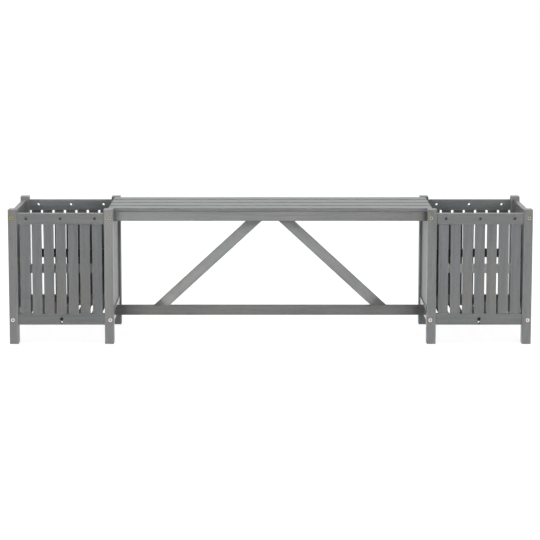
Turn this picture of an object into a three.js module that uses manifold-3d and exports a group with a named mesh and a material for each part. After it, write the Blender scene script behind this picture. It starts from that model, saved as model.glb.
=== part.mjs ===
// Garden bench carried by two square slatted planters, in grey-stained solid wood.
// Lengths are in millimetres and +Z is up. X runs along the bench and the front faces -Y.
// The origin is on the ground, under the middle of the bench.

import * as THREE from 'three';
import { mergeVertices } from 'three/addons/utils/BufferGeometryUtils.js';
import Module from 'manifold-3d';

const wasm = await Module();
wasm.setup();

// Overall size
const benchLength = 1500;
const planterWidth = 300;
const planterDepth = 300;
const legHeight = 391;

// Legs: their section, and how far they stand proud of the top rails
const legWidth = 26;
const legDepth = 30;
const legProud = 11;
const legEase = 2;
const endEase = 1.2;

// Joints: the seam left between two pieces that meet
const seam = 0.3;
const cutOverrun = 5;

// Panel slats: upright slats held in grooves of the rails, with a batten behind them
const slatWidth = 28;
const slatThickness = 8;
const slatLeastGap = 5;
const slatSetback = 4;
const slatEase = 0.8;
const slatBattenHeight = 26;
const slatBattenThickness = 8;
const slatBattenLift = 205;

// Rails: set back from the legs' outer faces, grooved along one edge for the slats
const railHeight = 32;
const railSetback = 3;
const railEase = 1;
const grooveDepth = 8;
const grooveLip = 2;
const bottomRailLift = 56;

// Tenons of the front and rear rails, glued into mortises of the legs
const tenonThickness = 8;
const tenonHeight = 18;
const tenonShoulder = 4;
const tenonWall = 2.7;

// Drilled holes: three in each top rail, two drains in the front and rear bottom rails
const hangHoleDiameter = 7;
const hangHoleInset = 26;
const hangHoleDrop = 15;
const plugHoleDiameter = 10;
const plugHoleLift = 17;
const drainHoleDiameter = 6;
const drainHoleLift = 7;

// Bolts: flat heads with a hexagon socket, through the legs into the side rails' ends
const boltDiameter = 6;
const boltHeadDiameter = 12;
const boltHeadThickness = 2.5;
const boltHeadSink = 0.4;
const boltHeadEase = 0.6;
const boltReach = 15;
const boltTipEase = 1;
const boltSocketWidth = 4.6;
const boltSocketDepth = 1.7;
const topBoltDrop = 14;
const bottomBoltLift = 14;
const boltEndRoom = 1.5;

// Planter floor: boards laid front to back on two cleats
const floorBoardWidth = 29.5;
const floorBoardThickness = 10;
const floorLeastGap = 8;
const floorSideGap = 4;
const floorEase = 1;
const cleatHeight = 14;
const cleatThickness = 14;
const cleatLift = 66;

// Seat: long slats that lie on the planters' inner top rails
const seatSlatCount = 4;
const seatSlatGap = 10;
const seatSlatThickness = 10;
const seatLegGap = 5;
const seatEndSetback = 1;
const seatEase = 1.6;

// Frame under the seat
const apronHeight = 28;
const apronThickness = 18;
const apronSetback = 7;
const crossBattenWidth = 18;
const stretcherHeight = 28;
const stretcherThickness = 18;
const frameEase = 1;
const braceWidth = 28;
const braceThickness = 16;
const braceFootReach = 320;

// Round shapes: flats round a drilled hole and a bolt, and steps in an eased corner
const holeSides = 12;
const boltSides = 12;
const socketSides = 6;
const roundSteps = 2;
const flatSteps = 1;

// Sizes that follow from those above
const railThickness = slatSetback + slatThickness + grooveLip;
const railMiddle = railSetback + railThickness / 2;
const railInnerFace = railSetback + railThickness;
const slatOuterFace = railSetback + slatSetback;
const slatInnerFace = slatOuterFace + slatThickness;
const topRailLift = legHeight - legProud - railHeight;
const frontClear = planterWidth - 2 * legWidth;
const sideClear = planterDepth - 2 * legDepth;
const boltHoleRadius = boltDiameter / 2 + seam;
const tenonLength = legWidth - railMiddle - boltHoleRadius - tenonWall;
const topBoltZ = topRailLift + railHeight - topBoltDrop;
const bottomBoltZ = bottomRailLift + bottomBoltLift;
const boltLength = legDepth - boltHeadSink + boltReach;
const planterCentre = benchLength / 2 - planterWidth / 2;
const innerRailFace = benchLength / 2 - planterWidth + railSetback;
const seatUnderside = topRailLift + railHeight + seam;
const seatHalfDepth = planterDepth / 2 - legDepth - seatLegGap;
const seatSlatPitch = (2 * seatHalfDepth + seatSlatGap) / seatSlatCount;
const seatSlatWidth = seatSlatPitch - seatSlatGap;
const frameTop = seatUnderside - seam;
const stretcherTop = bottomRailLift + stretcherHeight;

// Colours of the stained wood and of the plated steel
const legColour = 0x7e8180;
const railColour = 0x7a7d7e;
const slatColour = 0x767a7d;
const floorColour = 0x74716c;
const seatColour = 0x9da19e;
const frameColour = 0x858888;
const boltColour = 0xc9c0ae;
const woodRoughness = 0.8;
const steelRoughness = 0.35;

// Turns a closed geometry into a solid that can be cut and joined
function solidOf(geometry) {
  const plain = geometry.clone();
  plain.deleteAttribute('normal');
  plain.deleteAttribute('uv');
  const merged = mergeVertices(plain);
  return new wasm.Manifold(new wasm.Mesh({
    numProp: 3,
    vertProperties: merged.attributes.position.array,
    triVerts: Uint32Array.from(merged.index.array),
  }));
}

// Turns a solid back into a geometry
function geometryOf(solid) {
  const mesh = solid.getMesh();
  const geometry = new THREE.BufferGeometry();
  geometry.setAttribute('position', new THREE.BufferAttribute(mesh.vertProperties, 3));
  geometry.setIndex(new THREE.BufferAttribute(mesh.triVerts, 1));
  geometry.computeVertexNormals();
  return geometry;
}

// Takes a list of cutting geometries away from a geometry
function cut(geometry, cutters) {
  let solid = solidOf(geometry);
  for (const cutter of cutters) {
    solid = solid.subtract(solidOf(cutter));
  }
  return geometryOf(solid);
}

// Joins geometries that touch or run into each other
function join(geometries) {
  let solid = solidOf(geometries[0]);
  for (const geometry of geometries.slice(1)) {
    solid = solid.add(solidOf(geometry));
  }
  return geometryOf(solid);
}

// The rectangle of a board's section, its corners rounded by the ease
function easedRectangle(width, height, ease) {
  const x = width / 2 - ease;
  const y = height / 2 - ease;
  const shape = new THREE.Shape();
  shape.moveTo(-x, -y - ease);
  shape.lineTo(x, -y - ease);
  shape.absarc(x, -y, ease, -Math.PI / 2, 0);
  shape.lineTo(x + ease, y);
  shape.absarc(x, y, ease, 0, Math.PI / 2);
  shape.lineTo(-x, y + ease);
  shape.absarc(-x, y, ease, Math.PI / 2, Math.PI);
  shape.lineTo(-x - ease, -y);
  shape.absarc(-x, -y, ease, Math.PI, 1.5 * Math.PI);
  return shape;
}

// A section drawn in X and Y and drawn out along Z, centred on its length, with its corners
// in a few steps and its ends eased
function drawnOut(shape, length, steps = flatSteps, ends = 0) {
  const geometry = new THREE.ExtrudeGeometry(shape, {
    depth: length - 2 * ends,
    curveSegments: steps,
    bevelEnabled: ends > 0,
    bevelThickness: ends,
    bevelSize: ends,
    bevelOffset: -ends,
    bevelSegments: 1,
  });
  return geometry.translate(0, 0, ends - length / 2);
}

// Stands a drawn-out section along X: the section's X becomes Y and its Y becomes Z
const alongX = new THREE.Matrix4().makeBasis(
  new THREE.Vector3(0, 1, 0),
  new THREE.Vector3(0, 0, 1),
  new THREE.Vector3(1, 0, 0),
);

// Stands a drawn-out section along Y: the section's X stays and its Y becomes Z
const alongY = new THREE.Matrix4().makeBasis(
  new THREE.Vector3(1, 0, 0),
  new THREE.Vector3(0, 0, 1),
  new THREE.Vector3(0, -1, 0),
);

// A square block between two corners, for tenons, mortises and cuts
function block(low, high) {
  const size = high.map((value, axis) => value - low[axis]);
  const middle = high.map((value, axis) => (value + low[axis]) / 2);
  return new THREE.BoxGeometry(...size).translate(...middle);
}

// A round cutter along Y or X, centred on a point
function drill(diameter, length, x, y, z, axis = 'y') {
  const cutter = new THREE.CylinderGeometry(diameter / 2, diameter / 2, length, holeSides);
  if (axis === 'x') {
    cutter.rotateZ(Math.PI / 2);
  }
  return cutter.translate(x, y, z);
}

// How many pieces fit side by side, and the places of their middles, for a clear width
// with a gap at both ends
function placesBetween(clear, width, leastGap) {
  const count = Math.floor((clear - leastGap) / (width + leastGap));
  const gap = (clear - count * width) / (count + 1);
  return Array.from({ length: count }, (_, n) => gap + width / 2 + n * (width + gap) - clear / 2);
}

// The same where the outermost pieces lie at the ends of the clear width
function placesAcross(clear, width, leastGap) {
  const count = Math.floor((clear + leastGap) / (width + leastGap));
  const pitch = (clear - width) / (count - 1);
  return Array.from({ length: count }, (_, n) => (width - clear) / 2 + n * pitch);
}

const bench = new THREE.Group();

// Adds one named piece, with a material of its own, to a group
function piece(parent, name, geometry, colour, metal = false) {
  const material = new THREE.MeshStandardMaterial({
    color: colour,
    roughness: metal ? steelRoughness : woodRoughness,
    metalness: metal ? 1 : 0,
    flatShading: true,
  });
  const mesh = new THREE.Mesh(geometry, material);
  mesh.name = name;
  parent.add(mesh);
  return mesh;
}

// Legs. A leg stands centred on its own axis, with its outer face at -Y. Its front or rear
// rail comes in from the side given by hand, +1 or -1, and the side rails' bolts pass by
// on the other side of the axis.

function tenonSpan(isTop) {
  if (isTop) {
    const high = topRailLift + railHeight - tenonShoulder;
    return [high - tenonHeight, high];
  }
  const low = bottomRailLift + tenonShoulder;
  return [low, low + tenonHeight];
}

function legGeometry(hand) {
  const section = easedRectangle(legWidth, legDepth, legEase);
  const post = drawnOut(section, legHeight, roundSteps, endEase);
  post.translate(0, 0, legHeight / 2);
  const face = hand * legWidth / 2;
  const mortiseEnd = face - hand * (tenonLength + seam);
  const mortiseMouth = face + hand * cutOverrun;
  const mortiseY = railMiddle - legDepth / 2;
  const cutters = [];
  for (const isTop of [true, false]) {
    const [low, high] = tenonSpan(isTop);
    cutters.push(block(
      [Math.min(mortiseEnd, mortiseMouth), mortiseY - tenonThickness / 2 - seam, low - seam],
      [Math.max(mortiseEnd, mortiseMouth), mortiseY + tenonThickness / 2 + seam, high + seam],
    ));
  }
  const boltX = hand * (railMiddle - legWidth / 2);
  const sinkDepth = boltHeadSink + boltHeadThickness + seam;
  for (const boltZ of [topBoltZ, bottomBoltZ]) {
    cutters.push(drill(2 * boltHoleRadius, legDepth + 2 * cutOverrun, boltX, 0, boltZ));
    cutters.push(drill(
      boltHeadDiameter + 4 * seam,
      2 * sinkDepth,
      boltX,
      -legDepth / 2,
      boltZ,
    ));
  }
  return cut(post, cutters);
}

// Rails. A rail lies along X with its middle at zero, its outer face at Y = railSetback and
// its lower edge at Z = 0. The groove opens down on a top rail and up on a bottom rail.

function railSection(isTop) {
  const grooveOuter = slatSetback - seam;
  const grooveInner = slatSetback + slatThickness + seam;
  const lipEase = Math.min(railEase, (railThickness - grooveInner) / 2);
  const points = [
    [railEase, 0],
    [railThickness - railEase, 0],
    [railThickness, railEase],
    [railThickness, railHeight - lipEase],
    [railThickness - lipEase, railHeight],
    [grooveInner, railHeight],
    [grooveInner, railHeight - grooveDepth],
    [grooveOuter, railHeight - grooveDepth],
    [grooveOuter, railHeight],
    [railEase, railHeight],
    [0, railHeight - railEase],
    [0, railEase],
  ];
  return new THREE.Shape(points.map(([y, z]) => (
    new THREE.Vector2(railSetback + y, isTop ? railHeight - z : z)
  )));
}

// Three holes along a top rail, the outer two set in from its ends
function hangHoles(clear) {
  const outer = clear / 2 - hangHoleInset;
  return [-outer, 0, outer].map((x) => (
    drill(hangHoleDiameter, railThickness + 2 * cutOverrun, x, railMiddle, railHeight - hangHoleDrop)
  ));
}

// The two holes in the middle of a front or rear bottom rail
function drainHoles() {
  const depth = railThickness + 2 * cutOverrun;
  return [
    drill(plugHoleDiameter, depth, 0, railMiddle, plugHoleLift),
    drill(drainHoleDiameter, depth, 0, railMiddle, drainHoleLift),
  ];
}

// A front or rear rail: it ends in tenons that enter the legs
function tenonedRail(isTop) {
  const lift = isTop ? topRailLift : bottomRailLift;
  const [low, high] = tenonSpan(isTop);
  const body = drawnOut(railSection(isTop), frontClear - 2 * seam).applyMatrix4(alongX);
  const reach = frontClear / 2 + tenonLength;
  const tongue = block(
    [-reach, railMiddle - tenonThickness / 2, low - lift],
    [reach, railMiddle + tenonThickness / 2, high - lift],
  );
  return cut(join([body, tongue]), isTop ? hangHoles(frontClear) : drainHoles());
}

// A side rail: it butts against the legs, and a bolt enters each end
function boltedRail(isTop) {
  const body = drawnOut(railSection(isTop), sideClear - 2 * seam).applyMatrix4(alongX);
  const boltZ = isTop ? railHeight - topBoltDrop : bottomBoltLift;
  const depth = boltReach + boltEndRoom;
  const holes = [-1, 1].map((end) => (
    drill(2 * boltHoleRadius, 2 * depth, end * sideClear / 2, railMiddle, boltZ, 'x')
  ));
  return cut(body, isTop ? holes.concat(hangHoles(sideClear)) : holes);
}

// Slats. The upright slats of one panel, carried by the batten that is fixed to their backs.
function slatGrille(clear) {
  const foot = bottomRailLift + railHeight - grooveDepth + seam;
  const head = topRailLift + grooveDepth - seam;
  const places = placesBetween(clear, slatWidth, slatLeastGap);
  const section = easedRectangle(slatWidth, slatThickness, slatEase);
  const slats = places.map((x) => (
    drawnOut(section, head - foot)
      .translate(x, (slatOuterFace + slatInnerFace) / 2, (head + foot) / 2)
  ));
  const halfBatten = places[places.length - 1] + slatWidth / 2;
  const batten = block(
    [-halfBatten, slatInnerFace, slatBattenLift],
    [halfBatten, slatInnerFace + slatBattenThickness, slatBattenLift + slatBattenHeight],
  );
  return join([batten, ...slats]);
}

// Planter floor, fused with the two cleats that carry it
function floorGeometry() {
  const cleatTop = cleatLift + cleatHeight;
  const boardLength = planterDepth - 2 * (railInnerFace + seam);
  const floorWidth = frontClear - 2 * floorSideGap;
  const section = easedRectangle(floorBoardWidth, floorBoardThickness, floorEase);
  const boards = placesAcross(floorWidth, floorBoardWidth, floorLeastGap).map((x) => (
    drawnOut(section, boardLength).applyMatrix4(alongY).translate(x, 0, cleatTop + floorBoardThickness / 2)
  ));
  const halfCleat = frontClear / 2 - seam;
  const outer = boardLength / 2;
  const cleats = [-1, 1].map((side) => {
    const far = side * outer;
    const near = side * (outer - cleatThickness);
    return block(
      [-halfCleat, Math.min(near, far), cleatLift],
      [halfCleat, Math.max(near, far), cleatTop],
    );
  });
  return join([...cleats, ...boards]);
}

// Bolt, along Y with its head's face at Y = 0
function boltGeometry() {
  const head = boltHeadDiameter / 2;
  const shank = boltDiameter / 2;
  const profile = [
    [0, 0],
    [head - boltHeadEase, 0],
    [head, boltHeadEase],
    [head, boltHeadThickness],
    [shank, boltHeadThickness],
    [shank, boltLength - boltTipEase],
    [shank - boltTipEase, boltLength],
    [0, boltLength],
  ];
  const body = new THREE.LatheGeometry(profile.map(([r, y]) => new THREE.Vector2(r, y)), boltSides);
  const socketRadius = boltSocketWidth / Math.sqrt(3);
  const socket = new THREE.CylinderGeometry(
    socketRadius,
    socketRadius,
    2 * boltSocketDepth,
    socketSides,
  );
  return cut(body, [socket]);
}

const rightLeg = legGeometry(-1);
const leftLeg = legGeometry(1);
const frontTopRail = tenonedRail(true);
const frontBottomRail = tenonedRail(false);
const sideTopRail = boltedRail(true);
const sideBottomRail = boltedRail(false);
const frontGrille = slatGrille(frontClear);
const sideGrille = slatGrille(sideClear);
const floor = floorGeometry();
const bolt = boltGeometry();

// One wall of a planter: two rails and the slats between them, with the wall's outer side
// towards -Y until the group is turned
function addWall(planter, name, turn, distance, isSide) {
  const wall = new THREE.Group();
  wall.rotation.z = turn;
  const outward = new THREE.Vector3(0, -distance, 0).applyAxisAngle(new THREE.Vector3(0, 0, 1), turn);
  wall.position.copy(outward);
  planter.add(wall);
  const top = piece(wall, `${name}_top_rail`, isSide ? sideTopRail : frontTopRail, railColour);
  top.position.z = topRailLift;
  const bottom = piece(wall, `${name}_bottom_rail`, isSide ? sideBottomRail : frontBottomRail, railColour);
  bottom.position.z = bottomRailLift;
  piece(wall, `${name}_slats`, isSide ? sideGrille : frontGrille, slatColour);
}

// A leg with its two bolts. The rear legs are the front ones turned half round.
function addLeg(planter, name, side, isRear) {
  const corner = new THREE.Group();
  corner.rotation.z = isRear ? Math.PI : 0;
  const depth = (planterDepth - legDepth) / 2;
  corner.position.set(side * (planterWidth - legWidth) / 2, isRear ? depth : -depth, 0);
  planter.add(corner);
  const turned = isRear ? -side : side;
  piece(corner, `${name}_leg`, turned < 0 ? leftLeg : rightLeg, legColour);
  const boltX = turned * (legWidth / 2 - railMiddle);
  for (const [level, z] of [['top', topBoltZ], ['bottom', bottomBoltZ]]) {
    const screw = piece(corner, `${name}_${level}_bolt`, bolt, boltColour, true);
    screw.position.set(boltX, boltHeadSink - legDepth / 2, z);
  }
}

// A planter. Its outer side faces away from the bench.
function addPlanter(name, side) {
  const planter = new THREE.Group();
  planter.position.x = side * planterCentre;
  bench.add(planter);
  for (const [place, isRear] of [['front', false], ['rear', true]]) {
    addLeg(planter, `${name}_${place}_outer`, side, isRear);
    addLeg(planter, `${name}_${place}_inner`, -side, isRear);
  }
  addWall(planter, `${name}_front`, 0, planterDepth / 2, false);
  addWall(planter, `${name}_rear`, Math.PI, planterDepth / 2, false);
  addWall(planter, `${name}_outer_side`, side * Math.PI / 2, planterWidth / 2, true);
  addWall(planter, `${name}_inner_side`, -side * Math.PI / 2, planterWidth / 2, true);
  piece(planter, `${name}_floor`, floor, floorColour);
}

addPlanter('left', -1);
addPlanter('right', 1);

// Seat slats, numbered from the front
const seatHalfLength = innerRailFace + railThickness - seatEndSetback;
const seatSection = easedRectangle(seatSlatWidth, seatSlatThickness, seatEase);
for (let n = 0; n < seatSlatCount; n += 1) {
  const slat = drawnOut(seatSection, 2 * seatHalfLength, roundSteps, endEase).applyMatrix4(alongX);
  const y = seatSlatWidth / 2 - seatHalfDepth + n * seatSlatPitch;
  const mesh = piece(bench, `seat_slat_${n + 1}`, slat, seatColour);
  mesh.position.set(0, y, seatUnderside + seatSlatThickness / 2);
}

// Aprons, between the inner top rails
const frameLength = 2 * (innerRailFace - seam);
const apronY = seatHalfDepth - apronSetback - apronThickness / 2;
const apronSection = easedRectangle(apronThickness, apronHeight, frameEase);
for (const [name, side] of [['front_apron', -1], ['rear_apron', 1]]) {
  const apron = drawnOut(apronSection, frameLength).applyMatrix4(alongX);
  const mesh = piece(bench, name, apron, frameColour);
  mesh.position.set(0, side * apronY, frameTop - apronHeight / 2);
}

// Cross batten under the middle of the seat, between the aprons
const crossLength = 2 * (apronY - apronThickness / 2 - seam);
const crossSection = easedRectangle(crossBattenWidth, apronHeight, frameEase);
const crossBatten = drawnOut(crossSection, crossLength).applyMatrix4(alongY);
piece(bench, 'seat_cross_batten', crossBatten, frameColour)
  .position.set(0, 0, frameTop - apronHeight / 2);

// Stretcher, low between the inner bottom rails
const stretcherSection = easedRectangle(stretcherThickness, stretcherHeight, frameEase);
const stretcher = drawnOut(stretcherSection, frameLength).applyMatrix4(alongX);
piece(bench, 'stretcher', stretcher, frameColour)
  .position.set(0, 0, bottomRailLift + stretcherHeight / 2);

// Diagonal braces. The middle line of each runs from the stretcher's top to the middle of
// the seat's underside. The head is cut level below the seat and upright at the cross batten.
function braceGeometry(hand) {
  const foot = stretcherTop + seam;
  const rise = seatUnderside - foot;
  const slope = rise / braceFootReach;
  const halfRun = braceWidth / (2 * Math.sin(Math.atan(slope)));
  const headX = crossBattenWidth / 2 + seam;
  const upperEdge = (z) => braceFootReach + halfRun - (z - foot) / slope;
  const lowerEdgeAt = (x) => foot + (braceFootReach - halfRun - x) * slope;
  const points = [
    [braceFootReach + halfRun, foot],
    [braceFootReach - halfRun, foot],
    [headX, lowerEdgeAt(headX)],
    [headX, frameTop],
    [upperEdge(frameTop), frameTop],
  ];
  const shape = new THREE.Shape(points.map(([x, z]) => new THREE.Vector2(hand * x, z)));
  return drawnOut(shape, braceThickness, flatSteps, frameEase).applyMatrix4(alongY);
}

piece(bench, 'left_brace', braceGeometry(-1), frameColour);
piece(bench, 'right_brace', braceGeometry(1), frameColour);

export default bench;
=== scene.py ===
"""Garden bench in grey-stained wood, its seat carried at both ends by slatted planters.

Each board is made the way it is cut: a section with eased corners, drawn out along the grain,
with its grooves, tenons, mortises and drilled holes. Places and sizes come from the frame.
Lengths are in metres, +Z is up, X runs along the bench and the front faces -Y.
"""

import math
import random
from collections import namedtuple

import bpy
import numpy as np
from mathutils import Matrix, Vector

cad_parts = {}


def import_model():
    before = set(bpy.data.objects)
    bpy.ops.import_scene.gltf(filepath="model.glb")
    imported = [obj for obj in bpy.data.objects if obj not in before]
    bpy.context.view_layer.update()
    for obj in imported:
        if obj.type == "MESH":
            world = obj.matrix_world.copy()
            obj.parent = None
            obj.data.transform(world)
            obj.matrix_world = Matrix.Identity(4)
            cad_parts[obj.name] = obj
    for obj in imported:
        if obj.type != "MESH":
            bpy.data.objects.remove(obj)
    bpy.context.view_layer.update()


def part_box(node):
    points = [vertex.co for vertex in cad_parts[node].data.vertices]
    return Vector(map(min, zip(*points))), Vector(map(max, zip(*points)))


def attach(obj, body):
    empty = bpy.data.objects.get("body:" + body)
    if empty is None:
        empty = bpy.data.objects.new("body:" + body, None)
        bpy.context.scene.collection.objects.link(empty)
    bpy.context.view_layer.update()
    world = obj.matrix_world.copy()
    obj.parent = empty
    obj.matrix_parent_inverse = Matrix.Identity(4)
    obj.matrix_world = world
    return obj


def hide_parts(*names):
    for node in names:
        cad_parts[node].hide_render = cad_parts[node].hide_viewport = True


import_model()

RIGHT = Vector((1, 0, 0))
BACK = Vector((0, 1, 0))
UP = Vector((0, 0, 1))

# Sizes that the boxes of the frame's nodes don't tell. Slats stray a little from their even
# places, and the rear ones stand a little further from the bench.
SEAM = 0.0003
TENON_HEIGHT = 0.018
TENON_THICKNESS = 0.008
TENON_SHOULDER = 0.004
GROOVE_DEPTH = 0.008
GROOVE_EASE = 0.0003
SLATS = 7
SLAT_WIDTH = 0.028
SLAT_STRAY = 0.0004
REAR_SLAT_SHIFT = 0.0014
SLAT_BATTEN_LIFT = 0.205
SLAT_BATTEN_HEIGHT = 0.026
FLOOR_BOARDS = 6
FLOOR_BOARD_WIDTH = 0.0275
FLOOR_BOARD_THICKNESS = 0.010
FLOOR_OUTER_GAP = 0.004
FLOOR_INNER_GAP = 0.011
CLEAT_SIZE = 0.014
SEAT_SLATS = 4
BRACE_WIDTH = 0.028
BRACE_FOOT_REACH = 0.320

# Eased edges: the radius along a board and at its ends
LEG_EASE = 0.002
SEAT_EASE = 0.0014
BOARD_EASE = 0.0011
SLAT_EASE = 0.0009
END_EASE = 0.0012
HIDDEN_END_EASE = 0.0004

# The share of a radius that is always left, and the shares that a groove's thin lip allows
LEAST_EASE = 0.2
LIP_EASE = 0.45
LIP_INNER_EASE = 0.6

# Steps in a rounded corner, the distance between a board's sections, and the angle from which
# an edge stays sharp
ARC_STEPS = 3
STATION_SPACING = 0.042
SMOOTH_ANGLE = math.radians(50)

# An edge's radius wanders along the board, by this share of it and in this many waves
EASE_WANDER = 0.32
WANDER_WAVES = 3
WANDER_RATES = (9, 26)

# Drilled holes, and how far their cutters reach past a face
HANG_HOLE_RADIUS = 0.0039
HANG_HOLE_DROP = 0.015
HANG_HOLE_INSET = 0.026
PLUG_HOLE_RADIUS = 0.005
PLUG_HOLE_LIFT = 0.017
DRAIN_HOLE_RADIUS = 0.0034
DRAIN_HOLE_LIFT = 0.007
BOLT_HOLE_RADIUS = 0.0033
SIDE_BOLT_HOLE_DEPTH = 0.0165
HEAD_SINK = 0.0004
HEAD_THICKNESS = 0.0025
HEAD_HOLE_RADIUS = 0.0066
HOLE_MOUTH = 0.0002
HOLE_SIDES = 32
OVERRUN = 0.003

# Bolts. A head's flat face begins at a share of its radius.
SHANK_RADIUS = 0.003
HEAD_EASE = 0.0006
HEAD_FLAT = 0.72
SOCKET_WIDTH = 0.0046
SOCKET_DEPTH = 0.0017
SOCKET_MOUTH = 0.00025
TIP_EASE = 0.001
BOLT_SIDES = 48

# The top bolts' plating is yellow, each in its own degree, and the bottom ones' is pale
TOP_BOLT_YELLOW = 0.6
TOP_BOLT_YELLOWS = {
    "left_front_outer": 1.0,
    "left_front_inner": 0.35,
    "right_front_outer": 0.45,
}
TOP_BOLT_TONE = 0.68
BOTTOM_BOLT_YELLOW = 0.0
BOTTOM_BOLT_TONE = 1.12

# How one board's tint differs from the next: in its stain's tone and warmth, in how the warmth
# drifts and
#  the tone fades along it, in how much less rough it is, and in how far the painted shadow at its
#  ends reaches
PAINTED_END_REACH = 0.014
Tint = namedtuple("Tint", "tone warmth drift fade polish ends", defaults=(0.0, 0.0, PAINTED_END_REACH))
TONES = (0.96, 1.03)
WARMTHS = (0.10, 0.42)
DRIFTS = (-0.18, 0.18)
FADES = (-0.02, 0.02)

# What the photo shows of single boards
LEG_FADE = -0.05
SLAT_DRIFT = -0.30
# The rear walls' slats are darker as painted shade inside the planters, and the inner side slats
# lighter as painted light
SLAT_TONES = {
    "left_rear": 0.80,
    "right_rear": 0.80,
    "right_front": 1.06,
    "left_inner_side": 1.06,
    "right_inner_side": 1.06,
}
WARM_SLATS = {"left_front": (4, 6), "right_front": (3, 5)}
WARM_SLAT = 0.75
COOL_SLAT = 0.20
SLAT_BATTEN_TONE = 0.8
# The front battens are lighter as painted light through the slats' gaps, most on the right, and the
# rear battens darker as painted shade
SLAT_BATTEN_TONES = {"left_front": 1.6, "right_front": 3.6, "left_rear": 0.45, "right_rear": 0.45}
SLAT_BATTEN_WARMTH = 0.9
# Painted shade among these: the rear inner legs are darker, the rear top rails fade darker towards
# the seat, and ends sets how far the painted shadow at a frame board's ends reaches
STAINS_AND_PAINTED_SHADE = {
    "left_front_inner_leg": {"tone": 1.16, "warmth": 0.35, "drift": 0.2, "fade": 0.09},
    "left_rear_inner_leg": {"tone": 0.74},
    "right_rear_inner_leg": {"tone": 0.82},
    "left_front_top_rail": {"tone": 0.97, "fade": 0.02},
    "left_front_bottom_rail": {"tone": 0.89},
    "right_front_top_rail": {"tone": 0.94},
    "right_front_bottom_rail": {"tone": 0.94},
    "left_rear_top_rail": {"tone": 0.98, "warmth": 0.0, "drift": 0.0, "fade": 0.09},
    "right_rear_top_rail": {"tone": 0.95, "warmth": 0.0, "drift": 0.0, "fade": -0.04},
    "left_outer_side_top_rail": {"tone": 0.84},
    "right_outer_side_top_rail": {"tone": 0.90},
    "left_inner_side_bottom_rail": {"tone": 1.03, "polish": 0.20},
    "right_inner_side_bottom_rail": {"tone": 1.03, "polish": 0.20},
    "front_apron": {"tone": 1.09, "warmth": 0.30, "drift": 0.30, "fade": -0.16},
    "rear_apron": {"tone": 1.00},
    "stretcher": {"tone": 0.875, "warmth": 0.55, "fade": -0.05, "polish": -0.40, "ends": 0.040},
    "left_brace": {"tone": 1.41, "warmth": 0.30, "drift": -0.30, "fade": -0.02, "polish": -0.40},
    "right_brace": {"tone": 1.26, "warmth": 0.35, "fade": 0.07, "polish": -0.40, "ends": 0.030},
}


def size_of(node):
    low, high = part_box(node)
    return high - low


def middle_of(node):
    low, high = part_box(node)
    return (low + high) / 2


def tint_for(name, **chosen):
    """A board's own tint: drawn from its name, then as chosen for its kind, then as listed."""
    dice = random.Random("tint " + name)
    ranges = TONES, WARMTHS, DRIFTS, FADES
    drawn = Tint(*(dice.uniform(*values) for values in ranges))
    return drawn._replace(**{**chosen, **STAINS_AND_PAINTED_SHADE.get(name, {})})


# Sections. A section's corners go round against the clock.


def rectangle(width, height):
    x, y = width / 2, height / 2
    return [(-x, -y), (x, -y), (x, y), (-x, y)]


def moved_in(corners, distance):
    """The same outline with each of its sides moved inwards."""
    moved = []
    for n, corner in enumerate(corners):
        here = np.array(corner)
        along_in = here - np.array(corners[n - 1])
        along_out = np.array(corners[(n + 1) % len(corners)]) - here
        normal_in = np.array((-along_in[1], along_in[0])) / np.linalg.norm(along_in)
        normal_out = np.array((-along_out[1], along_out[0])) / np.linalg.norm(along_out)
        step = (normal_in + normal_out) / (1 + normal_in @ normal_out)
        moved.append(tuple(here + distance * step))
    return moved


def rounded(corners, radii):
    """The outline's points, with each corner turned in a few steps of an arc."""
    points = []
    for n, corner in enumerate(corners):
        here = np.array(corner)
        before = np.array(corners[n - 1]) - here
        after = np.array(corners[(n + 1) % len(corners)]) - here
        before /= np.linalg.norm(before)
        after /= np.linalg.norm(after)
        half_angle = math.acos(float(np.clip(before @ after, -1, 1))) / 2
        bisector = (before + after) / np.linalg.norm(before + after)
        centre = here + bisector * radii[n] / math.sin(half_angle)
        reach = radii[n] / math.tan(half_angle)
        start = here + before * reach - centre
        end = here + after * reach - centre
        turn = math.pi - 2 * half_angle
        for step in range(ARC_STEPS + 1):
            share = step / ARC_STEPS
            weights = math.sin((1 - share) * turn), math.sin(share * turn)
            points.append(centre + (weights[0] * start + weights[1] * end) / math.sin(turn))
    return np.array(points)


def wander(dice, size):
    """A smooth wave along a board, of about that size, that stands for handwork."""
    waves = [
        (dice.uniform(*WANDER_RATES), dice.uniform(0, math.tau)) for _ in range(WANDER_WAVES)
    ]
    return lambda along: size * sum(math.sin(rate * along + phase) for rate, phase in waves) / 2


def drawn_out(corners, radii, length, end_ease, dice):
    """A closed skin: the section drawn out along the third axis, with its ends eased."""
    ends = []
    for step in range(ARC_STEPS):
        angle = step / (ARC_STEPS - 1) * math.pi / 2
        ends.append((end_ease * (1 - math.cos(angle)), end_ease * (1 - math.sin(angle))))
    spans = max(1, round((length - 2 * end_ease) / STATION_SPACING))
    places = [(along - length / 2, inset) for along, inset in ends]
    for n in range(1, spans):
        places.append((end_ease - length / 2 + (length - 2 * end_ease) * n / spans, 0))
    places += [(length / 2 - along, inset) for along, inset in reversed(ends)]
    waves = [wander(dice, EASE_WANDER) for _ in corners]
    rings = []
    for place, inset in places:
        wandered = [
            max(radius * (1 + wave(place)) - inset, radius * LEAST_EASE)
            for radius, wave in zip(radii, waves)
        ]
        outline = rounded(moved_in(corners, inset), wandered)
        rings.append(np.column_stack((outline, np.full(len(outline), place))))
    return skin(rings)


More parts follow.
